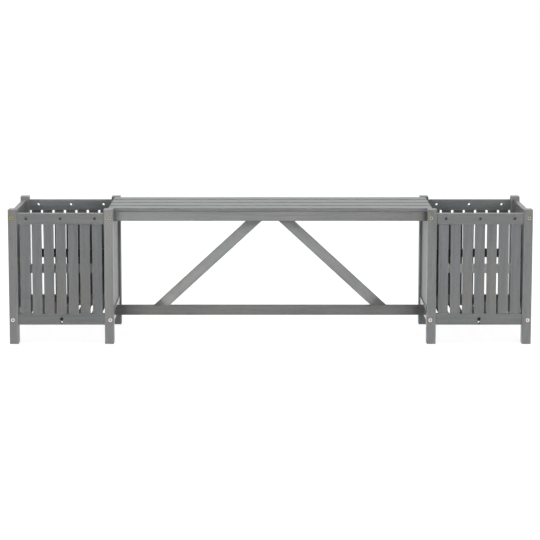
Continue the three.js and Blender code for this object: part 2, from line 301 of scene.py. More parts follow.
def skin(rings):
    """Points and faces of a closed skin over rings of as many points each."""
    count = len(rings[0])
    faces = []
    for ring in range(len(rings) - 1):
        low, high = ring * count, (ring + 1) * count
        for n in range(count):
            m = (n + 1) % count
            faces.append((low + n, low + m, high + m, high + n))
    faces.append(tuple(reversed(range(count))))
    faces.append(tuple(range((len(rings) - 1) * count, len(rings) * count)))
    return np.concatenate(rings), faces


def lathed(profile, sides):
    """A skin turned round the third axis, from a profile of radius and height pairs."""
    rings = []
    for radius, height in profile:
        angles = np.arange(sides) * math.tau / sides
        ring = (radius * np.cos(angles), radius * np.sin(angles), np.full(sides, height))
        rings.append(np.column_stack(ring))
    return skin(rings)


# Boards. A board's own axes are: along the grain, across it, and through its thickness.

Board = namedtuple("Board", "points faces half")

# A skin is drawn out or turned along its third axis, which becomes a board's first
ALONG_FIRST = [2, 0, 1]


def board(length, width, thickness, ease, end_ease, name):
    dice = random.Random("board " + name)
    points, faces = drawn_out(rectangle(width, thickness), [ease] * 4, length, end_ease, dice)
    half = (length / 2, width / 2, thickness / 2)
    return Board(points[:, ALONG_FIRST], faces, half)


def block(low, high):
    """A plain cutter or tongue between two corners, in a board's axes."""
    middle = (np.array(low) + np.array(high)) / 2
    size = np.array(high) - np.array(low)
    outline = np.array(rectangle(size[1], size[2]))
    rings = [np.column_stack((outline, np.full(4, end * size[0] / 2))) for end in (-1, 1)]
    points, faces = skin(rings)
    return points[:, ALONG_FIRST] + middle, faces


def hole(radius, thickness, along, across):
    """A cutter for a hole right through a board, its mouths a little wider."""
    reach = thickness / 2 + OVERRUN
    mouth = radius + HOLE_MOUTH + OVERRUN
    waist = thickness / 2 - HOLE_MOUTH
    profile = [(mouth, -reach), (radius, -waist), (radius, waist), (mouth, reach)]
    points, faces = lathed(profile, HOLE_SIDES)
    return points + np.array((along, across, 0)), faces


def bolt_hole(thickness, along, across):
    """A cutter for a bolt's shank, and for its head on the board's outer face."""
    face = thickness / 2
    bottom = face - HEAD_SINK - HEAD_THICKNESS - SEAM
    profile = [
        (BOLT_HOLE_RADIUS, -face - OVERRUN),
        (BOLT_HOLE_RADIUS, bottom),
        (HEAD_HOLE_RADIUS, bottom),
        (HEAD_HOLE_RADIUS, face - HOLE_MOUTH),
        (HEAD_HOLE_RADIUS + HOLE_MOUTH + OVERRUN, face + OVERRUN),
    ]
    points, faces = lathed(profile, HOLE_SIDES)
    return points + np.array((along, across, 0)), faces


def end_hole(half_length, end, across):
    """A cutter for the bolt that comes in at a board's end."""
    profile = [(BOLT_HOLE_RADIUS, -SIDE_BOLT_HOLE_DEPTH), (BOLT_HOLE_RADIUS, OVERRUN)]
    points, faces = lathed(profile, HOLE_SIDES)
    points = points[:, ALONG_FIRST] * np.array((end, end, 1))
    return points + np.array((end * half_length, across, 0)), faces


def mesh_of(name, points, faces):
    mesh = bpy.data.meshes.new(name)
    mesh.from_pydata([tuple(point) for point in points], [], faces)
    return mesh


def combined(points, faces, tool_points, tool_faces, operation):
    """The skin joined with a tool's skin, or cut by it."""
    objects = []
    for name, some_points, some_faces in (
        ("stock", points, faces),
        ("tool", tool_points, tool_faces),
    ):
        made = bpy.data.objects.new(name, mesh_of(name, some_points, some_faces))
        bpy.context.scene.collection.objects.link(made)
        objects.append(made)
    stock, tool = objects
    modifier = stock.modifiers.new("work", "BOOLEAN")
    modifier.object = tool
    modifier.operation = operation
    modifier.solver = "MANIFOLD"
    bpy.context.view_layer.update()
    shaped = stock.evaluated_get(bpy.context.evaluated_depsgraph_get()).to_mesh()
    new_points = np.array([tuple(vertex.co) for vertex in shaped.vertices])
    new_faces = [tuple(face.vertices) for face in shaped.polygons]
    for made in objects:
        mesh = made.data
        bpy.data.objects.remove(made)
        bpy.data.meshes.remove(mesh)
    return new_points, new_faces


def worked(plain, tools, operation="DIFFERENCE"):
    """The board after each of the tools has cut it, or been joined to it."""
    points, faces = plain.points, plain.faces
    for tool_points, tool_faces in tools:
        points, faces = combined(points, faces, tool_points, tool_faces, operation)
    return Board(points, faces, plain.half)


# Pieces: boards or bolts in their places, as one object that rides on the frame


class Piece:
    """Gathers boards in their places, with the coordinates that their material reads."""

    def __init__(self, node):
        self.node = node
        self.points, self.faces = [], []
        self.grain, self.half, self.stain = [], [], []
        # ends holds how far a board's painted end shadow reaches
        self.single = {"fade": [], "polish": [], "ends": []}

    def add(self, part, middle, along, through, tint):
        """Adds a board whose middle lies at a point, from the directions of two of its axes."""
        across = through.cross(along)
        axes = np.array((tuple(along), tuple(across), tuple(through)))
        start = len(self.points)
        self.points.extend(part.points @ axes + np.array(tuple(middle)))
        self.faces.extend(tuple(start + n for n in face) for face in part.faces)
        seed = random.Random(f"seed {self.node} {start}").random()
        count = len(part.points)
        self.grain.extend(part.points)
        self.half.extend([part.half] * count)
        self.stain.extend([(tint.tone, tint.warmth, tint.drift, seed)] * count)
        for name, values in self.single.items():
            values.extend([getattr(tint, name)] * count)

    def finish(self, material):
        """Makes the object of all boards added, which stands for its node."""
        mesh = mesh_of(f"{self.node}.finished", self.points, self.faces)
        for name, rows in (("grain_at", self.grain), ("half_size", self.half)):
            attribute = mesh.attributes.new(name, "FLOAT_VECTOR", "POINT")
            attribute.data.foreach_set("vector", np.array(rows, np.float32).ravel())
        attribute = mesh.attributes.new("stain", "FLOAT_COLOR", "POINT")
        attribute.data.foreach_set("color", np.array(self.stain, np.float32).ravel())
        for name, values in self.single.items():
            attribute = mesh.attributes.new(name, "FLOAT", "POINT")
            attribute.data.foreach_set("value", np.array(values, np.float32))
        mesh.materials.append(material)
        mesh.shade_smooth()
        mesh.set_sharp_from_angle(angle=SMOOTH_ANGLE)
        made = bpy.data.objects.new(f"{self.node}.finished", mesh)
        bpy.context.scene.collection.objects.link(made)
        made.modifiers.new("crisp faces", "WEIGHTED_NORMAL").keep_sharp = True
        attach(made, "root")
        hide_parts(self.node)


def finish_board(node, slot, material, part, along, through, **chosen):
    """Makes a piece of one board, in the middle of its node's box."""
    piece = Piece(node)
    piece.add(part, middle_of(node), along, through, tint_for(node, **chosen))
    piece.finish(material)


# Shaders


class Shader:
    """The nodes of a material or of the world, added one step at a time."""

    def __init__(self, owner):
        owner.use_nodes = True
        self.tree = owner.node_tree
        self.tree.nodes.clear()

    def add(self, kind, inputs=None, **settings):
        node = self.tree.nodes.new("ShaderNode" + kind)
        for name, value in settings.items():
            setattr(node, name, value)
        for name, value in (inputs or {}).items():
            self.feed(node.inputs[name], value)
        return node

    def feed(self, socket, value):
        if isinstance(value, bpy.types.NodeSocket):
            self.tree.links.new(value, socket)
        else:
            socket.default_value = value

    def attribute(self, name, output="Fac"):
        return self.add("Attribute", attribute_name=name).outputs[output]

    def math(self, operation, *values, clamp=False):
        node = self.add("Math", dict(enumerate(values)), operation=operation, use_clamp=clamp)
        return node.outputs[0]

    def carried(self, operation, values):
        """An operation on two values, carried on over all of them."""
        result = values[0]
        for value in values[1:]:
            result = self.math(operation, result, value)
        return result

    def plus(self, *values):
        return self.carried("ADD", values)

    def times(self, *values):
        return self.carried("MULTIPLY", values)

    def least(self, *values):
        return self.carried("MINIMUM", values)

    def vector(self, operation, *values):
        return self.add("VectorMath", dict(enumerate(values)), operation=operation).outputs[0]

    def scaled(self, vector, factor):
        inputs = {"Vector": vector, "Scale": factor}
        return self.add("VectorMath", inputs, operation="SCALE").outputs[0]

    def length(self, vector):
        return self.add("VectorMath", {0: vector}, operation="LENGTH").outputs["Value"]

    def split(self, vector):
        return self.add("SeparateXYZ", {0: vector}).outputs

    def joined(self, x, y, z):
        return self.add("CombineXYZ", {0: x, 1: y, 2: z}).outputs[0]

    def noise(self, at, detail, roughness=0.5):
        inputs = {"Vector": at, "Scale": 1.0, "Detail": detail, "Roughness": roughness}
        return self.add("TexNoise", inputs).outputs["Fac"]

    def pattern(self, place, kind):
        """Noise with a pattern's own cells, at a place in the wood."""
        at = self.vector("MULTIPLY", place, kind.cells)
        return self.noise(at, kind.detail, kind.roughness)

    def ranged(self, value, low, high, to_low=0.0, to_high=1.0, smooth=False):
        inputs = {
            "Value": value,
            "From Min": low,
            "From Max": high,
            "To Min": to_low,
            "To Max": to_high,
        }
        kind = "SMOOTHSTEP" if smooth else "LINEAR"
        return self.add("MapRange", inputs, interpolation_type=kind).outputs[0]

    def blended(self, factor, first, second):
        """A colour between two others. Sockets 6 and 7 take the colours and 2 gives one."""
        node = self.add("Mix", {0: factor, 6: first, 7: second}, data_type="RGBA")
        return node.outputs[2]


# The wood's patterns: cells to the metre along a board, across it and through it
Pattern = namedtuple("Pattern", "cells detail roughness", defaults=(0.5,))
BENDS = Pattern((2.6, 13.0, 13.0), 2.0)
FIBRES = Pattern((16.0, 620.0, 620.0), 3.0, 0.6)
PORES = Pattern((70.0, 1300.0, 1300.0), 1.0)
CLOUDS = Pattern((8.0, 24.0, 24.0), 3.0)
STREAKS = Pattern((3.4, 90.0, 90.0), 2.0)
EDGE_PATCHES = Pattern((38.0, 160.0, 160.0), 3.0)
SEED_SPREAD = (17.0, 5.0, 9.0)

# Growth rings, and where the pith lies from the board's middle
BEND_SIZE = 0.034
PITH_SIDE = (-0.045, 0.045)
PITH_DEPTH = (0.02, 0.06)
PITH_SEEDS = 7.0
RINGS_ALONG = 1.2
RING_SEEDS = 31.0
RING_DETAIL = 3.0
RING_FINENESS = 0.62

# The levels of a pattern that are used, and what they add to the stain's tone and warmth
WIDE = (0.25, 0.75)
NARROW = (0.3, 0.7)
RING_TONES = (-0.12, 0.12)
STREAK_TONES = (-0.06, 0.06)
FIBRE_TONES = (-0.06, 0.06)
CLOUD_TONES = (-0.035, 0.035)
CLOUD_WARMTHS = (-0.32, 0.32)
PORE_LEVELS = (0.60, 0.72)
PORE_COLOUR = (0.06, 0.06, 0.055, 1.0)

# A frame board has painted shadow near the joints at its ends and painted light a little beyond.
# These
#  are places from the end, in shares of the tint's own reach.
PAINTED_SHADOW_SPAN = (0.4, 1.0)
PAINTED_LIGHT_RISE = (1.0, 1.5)
PAINTED_LIGHT_FALL = (2.2, 3.8)

# Edges, where two faces of the board are near at once. Their colour is wear with a painted highlight
# on the planters, and painted shade on the seat and the frame.
EDGE_REACH = (0.0026, 0.0004)
EDGE_PATCH_LEVELS = (0.36, 0.62)
EDGE_PATCH_SHARES = (0.15, 1.0)
WORN_AND_SHADED_STRENGTH = 0.55
EDGE_POLISH = 0.08

# Painted shade in drilled holes and grooves, and end grain drinks more stain
RECESS_SHADE_DEPTH = (0.0008, 0.0014)
RECESS_SHADE_COLOUR = (0.035, 0.034, 0.032, 1.0)
END_GRAIN_REACH = (0.0011, 0.0003)
END_GRAIN_STRENGTH = 0.38
END_GRAIN_COLOUR = (0.12, 0.12, 0.115, 1.0)

# The wood's surface
RING_GLOSS = (-0.05, 0.06)
STREAK_GLOSS = (-0.05, 0.05)
FIBRE_RELIEF = 0.45
RING_RELIEF = 0.4
PORE_RELIEF = -0.5
WOOD_BUMP = 0.35
WOOD_BUMP_DEPTH = 0.0004
WOOD_SPECULAR = 0.4

StainedWood = namedtuple("StainedWood", "cool warm worn rings pores roughness dark_ends light_ends")


def growth_rings(shader, place, grain_at, seed, count):
    """Rings round a pith that lies outside the board, in grain that bends slowly."""
    bend = shader.times(shader.math("SUBTRACT", shader.pattern(place, BENDS), 0.5), BEND_SIZE)
    along, across, through = shader.split(grain_at)
    pith_side = shader.ranged(seed, 0.0, 1.0, *PITH_SIDE)
    depth_seed = shader.math("FRACT", shader.times(seed, PITH_SEEDS))
    pith_depth = shader.ranged(depth_seed, 0.0, 1.0, *PITH_DEPTH)
    off_across = shader.plus(shader.math("SUBTRACT", across, pith_side), bend)
    off_through = shader.plus(through, pith_depth, bend)
    squares = shader.plus(
        shader.times(off_across, off_across), shader.times(off_through, off_through)
    )
    at = shader.joined(
        shader.times(shader.math("SQRT", squares), count),
        shader.times(along, RINGS_ALONG),
        shader.times(seed, RING_SEEDS),
    )
    return shader.noise(at, RING_DETAIL, RING_FINENESS)


def painted_end_shade(shader, from_end, look):
    """The painted shadow near the joint at a board's end, less the painted light a little beyond."""
    reached = shader.math("DIVIDE", from_end, shader.attribute("ends"))
    dark = shader.ranged(reached, *PAINTED_SHADOW_SPAN, look.dark_ends, 0.0, smooth=True)
    light = shader.ranged(reached, *PAINTED_LIGHT_RISE, 0.0, look.light_ends, smooth=True)
    lasting = shader.ranged(reached, *PAINTED_LIGHT_FALL, 1.0, 0.0, smooth=True)
    return shader.math("SUBTRACT", dark, shader.times(light, lasting))


def edges_worn_and_shaded(shader, place, gaps):
    """How strongly the edge colour shows, from the gaps between a point and the board's faces; that
    colour is wear with a painted highlight on the planters and painted shade on the seat and the
    frame.
    """
    along, across, through = gaps
    nearest = shader.least(
        shader.plus(across, through), shader.plus(along, through), shader.plus(along, across)
    )
    patches = shader.ranged(shader.pattern(place, EDGE_PATCHES), *EDGE_PATCH_LEVELS, *EDGE_PATCH_SHARES)
    return shader.times(shader.ranged(nearest, *EDGE_REACH, smooth=True), patches)


def stained_wood(name, look):
    """Wood under a thin grey stain: wandering rings, fibres and pores show through it, and it took
    unevenly
     along each board. Its eased edges are worn pale with a painted highlight on the planters and
     darkened as painted shade on the seat and the frame, its holes and grooves are darkened as
     painted shade, and near a frame board's ends there is painted shadow with painted light just
     beyond."""
    material = bpy.data.materials.new(name)
    shader = Shader(material)
    grain_at = shader.attribute("grain_at", "Vector")
    half_size = shader.attribute("half_size", "Vector")
    tone, warmth, drift = shader.split(shader.attribute("stain", "Vector"))
    seed = shader.attribute("stain", "Alpha")
    along = shader.split(grain_at)[0]
    share_along = shader.math("DIVIDE", along, shader.split(half_size)[0])
    distance = shader.vector("ABSOLUTE", grain_at)
    gaps = shader.split(shader.vector("SUBTRACT", half_size, distance))

    # Each board is its own place in the wood
    place = shader.vector("ADD", grain_at, shader.scaled(SEED_SPREAD, seed))
    rings = growth_rings(shader, place, grain_at, seed, look.rings)
    fibres = shader.pattern(place, FIBRES)
    pores = shader.ranged(shader.pattern(place, PORES), *PORE_LEVELS)
    clouds = shader.pattern(place, CLOUDS)
    streaks = shader.pattern(place, STREAKS)

    # The stain took unevenly, and on some boards the tone and fade also carry painted shade
    warm = shader.plus(
        warmth,
        shader.times(drift, share_along),
        shader.ranged(clouds, *NARROW, *CLOUD_WARMTHS),
    )
    colour = shader.blended(warm, look.cool, look.warm)
    lightness = shader.plus(
        shader.ranged(rings, *WIDE, *RING_TONES),
        shader.ranged(streaks, *NARROW, *STREAK_TONES),
        shader.ranged(fibres, *WIDE, *FIBRE_TONES),
        shader.ranged(clouds, *NARROW, *CLOUD_TONES),
        shader.times(shader.attribute("fade"), share_along),
        1.0,
    )
    # Painted shadow near the joints at the ends, and painted light just beyond
    lightness = shader.math("SUBTRACT", lightness, painted_end_shade(shader, gaps[0], look))
    colour = shader.scaled(colour, shader.times(tone, lightness))
    colour = shader.blended(shader.times(pores, look.pores), colour, PORE_COLOUR)

    # Edges (worn with a painted highlight on the planters, painted shade on the seat and frame),
    # painted shade in holes and grooves, and end grain
    worn_and_shaded = edges_worn_and_shaded(shader, place, gaps)
    colour = shader.blended(shader.times(worn_and_shaded, WORN_AND_SHADED_STRENGTH), colour, look.worn)
    # Painted shade inside holes, grooves and mortises
    recess_shade = shader.ranged(shader.least(*gaps), *RECESS_SHADE_DEPTH)
    colour = shader.blended(recess_shade, colour, RECESS_SHADE_COLOUR)
    end_grain = shader.times(shader.ranged(gaps[0], *END_GRAIN_REACH), END_GRAIN_STRENGTH)
    colour = shader.blended(end_grain, colour, END_GRAIN_COLOUR)

    roughness = shader.plus(
        look.roughness,
        shader.ranged(rings, *WIDE, *RING_GLOSS),
        shader.ranged(streaks, *NARROW, *STREAK_GLOSS),
        shader.times(worn_and_shaded, -EDGE_POLISH),
    )
    roughness = shader.math("SUBTRACT", roughness, shader.attribute("polish"))
    roughness = shader.math("ADD", roughness, recess_shade, clamp=True)
    relief = shader.plus(
        shader.times(fibres, FIBRE_RELIEF),
        shader.times(rings, RING_RELIEF),
        shader.times(pores, PORE_RELIEF),
    )
    bump = shader.add("Bump", {
        "Strength": WOOD_BUMP,
        "Distance": WOOD_BUMP_DEPTH,
        "Height": relief,
    })
    surface = shader.add("BsdfPrincipled", {
        "Base Color": colour,
        "Roughness": roughness,
        "Normal": bump.outputs[0],
        "Specular IOR Level": WOOD_SPECULAR,
    })
    shader.add("OutputMaterial", {"Surface": surface.outputs[0]})
    return material


# Zinc plating on the bolts: marks of turning, clouds in the plating and grime in the socket, with a
#  painted shadow as a dark rim round the head
TURNING_MARKS = 5200.0
TURNING_DETAIL = 2.0
PLATING_CELLS = 420.0
PLATING_DETAIL = 3.0
PLATING_SPREAD = (9.0, 4.0, 7.0)
PLATING_TONES = (0.86, 1.06)
PLATING_ROUGHNESS = (0.26, 0.44)
RIM_SHADE_RADII = (0.0050, 0.0062)
RIM_SHADE_STRENGTH = 0.6
RIM_SHADE_COLOUR = (0.16, 0.11, 0.07, 1.0)
GRIME_RADII = (0.0026, 0.0021)
GRIME_DEPTHS = (-0.0003, -0.0012)
GRIME_STRENGTH = 0.8
GRIME_ROUGHNESS = 0.3
GRIME_COLOUR = (0.07, 0.055, 0.045, 1.0)
TURNED_RELIEF = 0.6
PLATING_RELIEF = 0.4
STEEL_BUMP = 0.25
STEEL_BUMP_DEPTH = 0.0001


def plated_steel(name, yellow, pale):
    """Zinc plating, yellow or pale from bolt to bolt, with turning marks and grime in the socket."""
    material = bpy.data.materials.new(name)
    shader = Shader(material)
    at = shader.attribute("grain_at", "Vector")
    tone, yellowness, _ = shader.split(shader.attribute("stain", "Vector"))
    seed = shader.attribute("stain", "Alpha")
    along, across, through = shader.split(at)
    radius = shader.length(shader.joined(across, through, 0.0))
    marks_at = shader.joined(shader.times(radius, TURNING_MARKS), seed, 0.0)
    marks = shader.noise(marks_at, TURNING_DETAIL)
    spread = shader.scaled(PLATING_SPREAD, seed)
    clouds_at = shader.vector("ADD", shader.scaled(at, PLATING_CELLS), spread)
    clouds = shader.noise(clouds_at, PLATING_DETAIL)

    colour = shader.blended(yellowness, pale, yellow)
    tones = shader.times(tone, shader.ranged(clouds, *WIDE, *PLATING_TONES))
    colour = shader.scaled(colour, tones)
    # Painted shadow: a dark rim round the head
    rim_shade = shader.ranged(radius, *RIM_SHADE_RADII, 0.0, RIM_SHADE_STRENGTH)
    colour = shader.blended(rim_shade, colour, RIM_SHADE_COLOUR)
    grime = shader.times(
        shader.ranged(radius, *GRIME_RADII), shader.ranged(along, *GRIME_DEPTHS)
    )
    colour = shader.blended(shader.times(grime, GRIME_STRENGTH), colour, GRIME_COLOUR)

    roughness = shader.plus(
        shader.ranged(clouds, *WIDE, *PLATING_ROUGHNESS), shader.times(grime, GRIME_ROUGHNESS)
    )
    relief = shader.plus(
        shader.times(marks, TURNED_RELIEF), shader.times(clouds, PLATING_RELIEF)
    )
    bump = shader.add("Bump", {
        "Strength": STEEL_BUMP,
        "Distance": STEEL_BUMP_DEPTH,
        "Height": relief,
    })
    surface = shader.add("BsdfPrincipled", {
        "Base Color": colour,
        "Metallic": 1.0,
        "Roughness": roughness,
        "Normal": bump.outputs[0],
    })
    shader.add("OutputMaterial", {"Surface": surface.outputs[0]})
    return material


# How each kind of board looks. The planters' edges are worn pale, with a painted highlight on them,
# and the seat's and the
#  frame's edges are darkened as painted shade.
LEG_WOOD = StainedWood(
    cool=(0.244, 0.256, 0.257, 1.0),
    warm=(0.265, 0.257, 0.248, 1.0),
    worn=(0.380, 0.380, 0.365, 1.0),
    rings=210.0,
    pores=0.35,
    roughness=0.34,
    dark_ends=0.0,
    light_ends=0.0,
)
RAIL_WOOD = LEG_WOOD._replace(
    cool=(0.216, 0.227, 0.231, 1.0),
    warm=(0.232, 0.226, 0.219, 1.0),
)
SLAT_WOOD = LEG_WOOD._replace(
    cool=(0.202, 0.211, 0.218, 1.0),
    warm=(0.210, 0.208, 0.204, 1.0),
    worn=(0.440, 0.440, 0.425, 1.0),
)
# Darker than the other boards, as painted shade inside the planters
FLOOR_WOOD = LEG_WOOD._replace(
    cool=(0.135, 0.139, 0.139, 1.0),
    warm=(0.162, 0.148, 0.132, 1.0),
    worn=(0.240, 0.230, 0.215, 1.0),
    roughness=0.65,
)
SEAT_WOOD = LEG_WOOD._replace(
    cool=(0.243, 0.256, 0.255, 1.0),
    warm=(0.266, 0.260, 0.251, 1.0),
    # Dark edge colour: painted shade along the seat slats' edges, which draws the lines between them
    worn=(0.105, 0.105, 0.102, 1.0),
    roughness=0.44,
)
FRAME_WOOD = LEG_WOOD._replace(
    cool=(0.268, 0.280, 0.281, 1.0),
    warm=(0.288, 0.281, 0.272, 1.0),
    # Dark edge colour: painted shade on the frame's edges under the seat
    worn=(0.220, 0.212, 0.206, 1.0),
    dark_ends=0.42,
    light_ends=0.14,
)

leg_wood = stained_wood("leg_wood", LEG_WOOD)
rail_wood = stained_wood("rail_wood", RAIL_WOOD)
slat_wood = stained_wood("slat_wood", SLAT_WOOD)
floor_wood = stained_wood("floor_wood", FLOOR_WOOD)
seat_wood = stained_wood("seat_wood", SEAT_WOOD)
frame_wood = stained_wood("frame_wood", FRAME_WOOD)
bolt_steel = plated_steel(
    "bolt_steel",
    yellow=(0.70, 0.60, 0.30, 1.0),
    pale=(0.86, 0.76, 0.69, 1.0),
)


# The planters


def own_place(point, node, along, through):
    """A point of the frame in the axes of a board that lies in the middle of a node's box."""
    away = point - middle_of(node)
    return away.dot(along), away.dot(through.cross(along)), away.dot(through)


def leg(node, wall, outward, towards_wall):
    """A post with mortises for its wall's rails and counterbored holes for its bolts."""
    size = size_of(node)
    post = board(size.z, size.x, size.y, LEG_EASE, END_EASE, node)
    tools = []
    for level in ("top", "bottom"):
        bolt_name = f"{node.removesuffix('_leg')}_{level}_bolt"
        bolt_at = own_place(middle_of(bolt_name), node, UP, outward)
        tools.append(bolt_hole(size.y, bolt_at[0], bolt_at[1]))
        rail = f"{wall}_{level}_rail"
        rail_middle = middle_of(rail)
        face = middle_of(node) + towards_wall * size.x / 2
        end = rail_middle + towards_wall * -size_of(rail).x / 2
        rise = size_of(rail).z / 2 - TENON_SHOULDER - TENON_HEIGHT / 2
        height = rail_middle.z + (rise if level == "top" else -rise)
        mouth = own_place(Vector((face.x, rail_middle.y, height)), node, UP, outward)
        bottom = own_place(Vector((end.x, rail_middle.y, height)), node, UP, outward)
        sign = math.copysign(1, mouth[1])
        ends = sorted((bottom[1] - sign * SEAM, mouth[1] + sign * OVERRUN))
        half_height = TENON_HEIGHT / 2 + SEAM
        half_depth = TENON_THICKNESS / 2 + SEAM
        tools.append(block(
            (mouth[0] - half_height, ends[0], mouth[2] - half_depth),
            (mouth[0] + half_height, ends[1], mouth[2] + half_depth),
        ))
    cut = worked(post, tools)
    finish_board(node, "leg_wood", leg_wood, cut, UP, outward, fade=LEG_FADE)


def rail_section(node, is_top, slats, outward):
    """A rail's section, height first and then depth, with the groove that houses its slats."""
    size = size_of(node)
    high = size.z / 2
    deep = min(size.x, size.y) / 2
    faces = sorted((corner - middle_of(node)).dot(outward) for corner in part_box(slats))
    groove_outer = faces[1] + SEAM
    groove_inner = (faces[0] + faces[1]) / 2 - SEAM
    corners = [
        (-high, -deep),
        (high, -deep),
        (high, groove_inner),
        (high - GROOVE_DEPTH, groove_inner),
        (high - GROOVE_DEPTH, groove_outer),
        (high, groove_outer),
        (high, deep),
        (-high, deep),
    ]
    lip = min(BOARD_EASE, (groove_inner + deep) * LIP_EASE)
    radii = [
        BOARD_EASE,
        lip,
        lip * LIP_INNER_EASE,
        GROOVE_EASE,
        GROOVE_EASE,
        GROOVE_EASE * 2,
        BOARD_EASE,
        BOARD_EASE,
    ]
    if is_top:
        corners = [(-height, depth) for height, depth in reversed(corners)]
        radii = radii[::-1]
    return corners, radii


def rail(wall, is_top, outward, clear, has_tenons):
    """A grooved rail. The front and rear ones end in tenons, the side ones take bolts."""
    level = "top" if is_top else "bottom"
    node = f"{wall}_{level}_rail"
    along = UP.cross(outward)
    size = size_of(node)
    corners, radii = rail_section(node, is_top, f"{wall}_slats", outward)
    length = clear - 2 * SEAM
    dice = random.Random("rail " + node)
    points, faces = drawn_out(corners, radii, length, HIDDEN_END_EASE, dice)
    thickness = min(size.x, size.y)
    plain = Board(points[:, ALONG_FIRST], faces, (length / 2, size.z / 2, thickness / 2))
    high = size.z / 2
    tools = []
    if has_tenons:
        middle = high - TENON_SHOULDER - TENON_HEIGHT / 2
        middle = middle if is_top else -middle
        tongue = block(
            (-size.x / 2, middle - TENON_HEIGHT / 2, -TENON_THICKNESS / 2),
            (size.x / 2, middle + TENON_HEIGHT / 2, TENON_THICKNESS / 2),
        )
        plain = worked(plain, [tongue], "UNION")
    else:
        bolt_at = middle_of(f"{wall_leg(wall)}_{level}_bolt")
        for end in (-1, 1):
            tools.append(end_hole(length / 2, end, bolt_at.z - middle_of(node).z))
    if is_top:
        outer = clear / 2 - HANG_HOLE_INSET
        for place in (-outer, 0, outer):
            tools.append(hole(HANG_HOLE_RADIUS, thickness, place, high - HANG_HOLE_DROP))
    elif has_tenons:
        tools.append(hole(PLUG_HOLE_RADIUS, thickness, 0, PLUG_HOLE_LIFT - high))
        tools.append(hole(DRAIN_HOLE_RADIUS, thickness, 0, DRAIN_HOLE_LIFT - high))
    finish_board(node, "rail_wood", rail_wood, worked(plain, tools), along, outward)


def wall_leg(wall):
    """The name of one leg at the end of a side wall, without its last word."""
    planter, end = wall.split("_")[:2]
    return f"{planter}_front_{end}"


def slats(wall, outward):
    """The upright slats of a wall, and the batten that is fixed to their backs."""
    node = f"{wall}_slats"
    piece = Piece(node)
    size = size_of(node)
    middle = middle_of(node)
    along = UP.cross(outward)
    width = abs(size.dot(along))
    depth = abs(size.dot(outward))
    pitch = (width - SLAT_WIDTH) / (SLATS - 1)
    away_from_bench = math.copysign(REAR_SLAT_SHIFT, middle.x)
    for n in range(SLATS):
        name = f"{node} {n + 1}"
        slat = board(size.z, SLAT_WIDTH, depth / 2, SLAT_EASE, HIDDEN_END_EASE, name)
        shift = n * pitch - (width - SLAT_WIDTH) / 2
        if 0 < n < SLATS - 1:
            shift += random.Random("place " + name).uniform(-SLAT_STRAY, SLAT_STRAY)
        place = middle + along * shift + outward * depth / 4
        chosen = {"drift": SLAT_DRIFT}
        if wall.endswith("rear"):
            place.x += away_from_bench
        if wall in SLAT_TONES:
            chosen["tone"] = SLAT_TONES[wall]
        if wall in WARM_SLATS:
            chosen["warmth"] = WARM_SLAT if n + 1 in WARM_SLATS[wall] else COOL_SLAT
        piece.add(slat, place, UP, outward, tint_for(name, **chosen))
    batten = board(width, SLAT_BATTEN_HEIGHT, depth / 2, SLAT_EASE, END_EASE, node)
    place = middle - outward * depth / 4
    place.z = SLAT_BATTEN_LIFT + SLAT_BATTEN_HEIGHT / 2
    tone = SLAT_BATTEN_TONES.get(wall, SLAT_BATTEN_TONE)
    tint = tint_for(node + " batten", tone=tone, warmth=SLAT_BATTEN_WARMTH)
    piece.add(batten, place, along, outward, tint)
    piece.finish(slat_wood)


def planter_floor(planter):
    """Boards laid front to back, on the two cleats that carry them."""
    node = f"{planter}_floor"
    piece = Piece(node)
    low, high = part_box(node)
    middle = (low + high) / 2
    run = high.x - low.x + 2 * SEAM - FLOOR_OUTER_GAP - FLOOR_INNER_GAP - FLOOR_BOARD_WIDTH
    start = middle.x + math.copysign(FLOOR_INNER_GAP - FLOOR_OUTER_GAP, middle.x) / 2
    for n in range(FLOOR_BOARDS):
        name = f"{node} {n + 1}"
        plank = board(
            high.y - low.y, FLOOR_BOARD_WIDTH, FLOOR_BOARD_THICKNESS, BOARD_EASE, BOARD_EASE, name
        )
        place = Vector((start + run * (n / (FLOOR_BOARDS - 1) - 0.5), middle.y, 0))
        place.z = high.z - FLOOR_BOARD_THICKNESS / 2
        piece.add(plank, place, BACK, UP, tint_for(name))
    for side in (-1, 1):
        name = f"{node} cleat {side}"
        cleat = board(high.x - low.x, CLEAT_SIZE, CLEAT_SIZE, SLAT_EASE, HIDDEN_END_EASE, name)
        reach = (high.y - low.y - CLEAT_SIZE) / 2
        place = Vector((middle.x, middle.y + side * reach, low.z + CLEAT_SIZE / 2))
        piece.add(cleat, place, RIGHT, UP, tint_for(name))
    piece.finish(floor_wood)


def hexagon(width, sides):
    """A ring of points along a hexagon of that width across its flats."""
    ring = []
    for n in range(sides):
        angle = math.tau * n / sides
        radius = width / 2 / math.cos((angle + math.pi / 6) % (math.pi / 3) - math.pi / 6)
        ring.append((radius * math.cos(angle), radius * math.sin(angle)))
    return np.array(ring)


